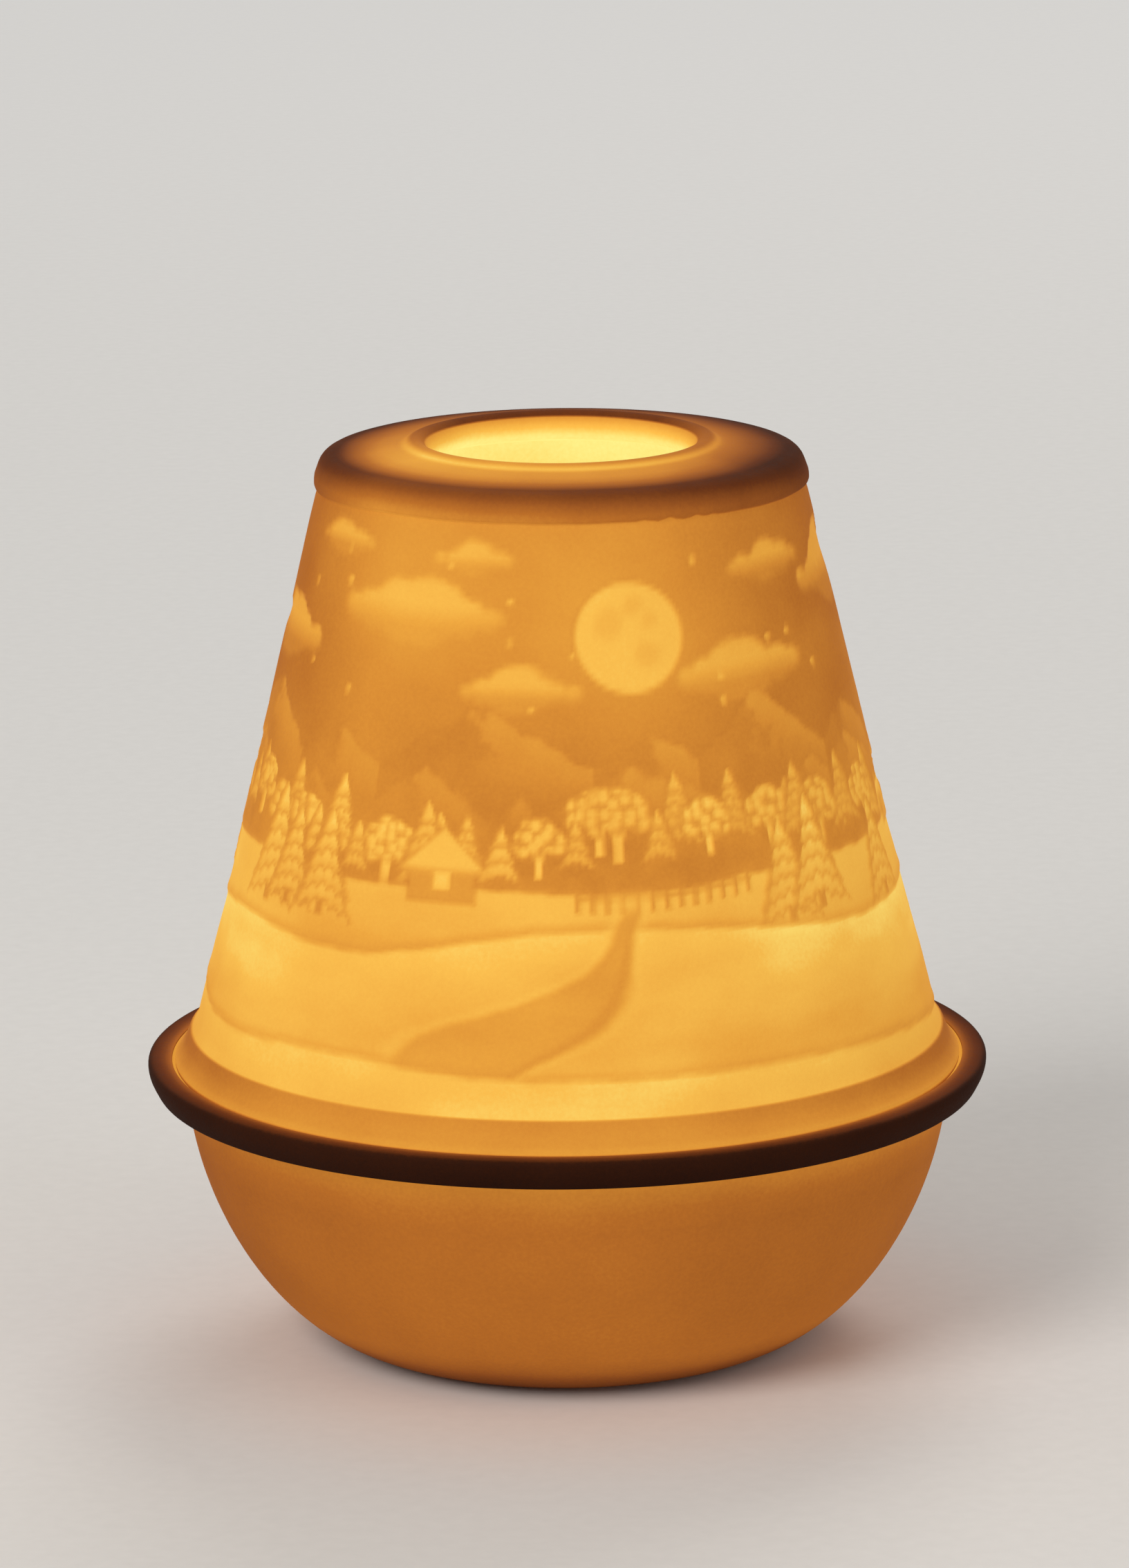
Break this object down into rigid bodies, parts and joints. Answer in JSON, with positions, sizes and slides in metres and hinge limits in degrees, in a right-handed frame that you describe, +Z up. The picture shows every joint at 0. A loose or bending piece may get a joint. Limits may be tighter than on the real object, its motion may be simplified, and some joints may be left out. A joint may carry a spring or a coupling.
{
  "type": "lithophane lamp",
  "caption": "Table lamp of lit porcelain: a round flanged bowl carries a tapered relief picture shade with an open collar, over a loose battery light unit with a push button.",
  "frame": {"origin": "middle of the flat ring that the bowl stands on", "axes": "+Z up along the axis of the bowl and the shade, -Y towards the viewer, +X to the viewer's right"},
  "size_m": [0.11, 0.11, 0.12],
  "materials": {
    "bowl_porcelain": "unglazed matt porcelain, lit amber from inside, with a dark unlit flange edge",
    "shade_porcelain": "unglazed matt porcelain with a fine relief picture, lit warm amber from inside",
    "silicone": "soft translucent silicone",
    "shell_plastic": "fine satin moulded plastic",
    "frosted_diffuser": "frosted translucent plastic, lit",
    "reflector_white": "glossy white moulding",
    "board": "green solder mask on glass laminate",
    "led": "yellow phosphor in a white package",
    "battery_foil": "crinkled foil pouch",
    "foam": "soft foam tape",
    "brass": "turned brass",
    "steel": "plated steel",
    "rubber_foot": "matt rubber",
    "clear_plastic": "clear polished plastic",
    "black_plastic": "matt moulded plastic",
    "button_plastic": "soft-touch grey plastic",
    "ferrite": "sintered ferrite",
    "red_lead": "soft insulated wire",
    "black_lead": "soft insulated wire"
  },
  "bodies": {
    "bowl": {"bowl": "bowl_porcelain"},
    "seat_ring": {"seat_ring": "silicone"},
    "shade": {"shade": "shade_porcelain"},
    "light_unit": {"unit_shell": "shell_plastic", "unit_cover": "shell_plastic", "diffuser_dome": "frosted_diffuser", "reflector": "reflector_white", "circuit_board": "board", "battery_pad": "foam", "battery": "battery_foil", "charge_socket": "steel", "switch_body": "black_plastic", "light_pipe": "clear_plastic", "status_led": "led", "inductor": "ferrite", "charge_chip": "black_plastic", "lead_red": "red_lead", "lead_black": "black_lead", "led_1": "led", "led_2": "led", "led_3": "led", "led_4": "led", "led_5": "led", "led_6": "led", "board_post_1": "brass", "board_post_2": "brass", "board_post_3": "brass", "board_post_4": "brass", "case_screw_1": "steel", "case_screw_2": "steel", "case_screw_3": "steel", "unit_foot_1": "rubber_foot", "unit_foot_2": "rubber_foot", "unit_foot_3": "rubber_foot"},
    "power_button": {"power_button": "button_plastic"}
  },
  "joints": [
    {"name": "shade_turn", "type": "hinge", "parent": "bowl", "child": "seat_ring", "pos_m": [0, 0, 0.0366], "axis": [0, 0, 1], "continuous": true},
    {"name": "shade_lift", "type": "slide", "parent": "seat_ring", "child": "shade", "axis": [0, 0, 1], "range_m": [0, 0.1]},
    {"name": "light_unit_lift", "type": "slide", "parent": "bowl", "child": "light_unit", "axis": [0, 0, 1], "range_m": [0, 0.045]},
    {"name": "power_button_press", "type": "slide", "parent": "light_unit", "child": "power_button", "axis": [0, 0, -1], "range_m": [0, 0.0008], "stiffness_N_per_m": 1500}
  ]
}
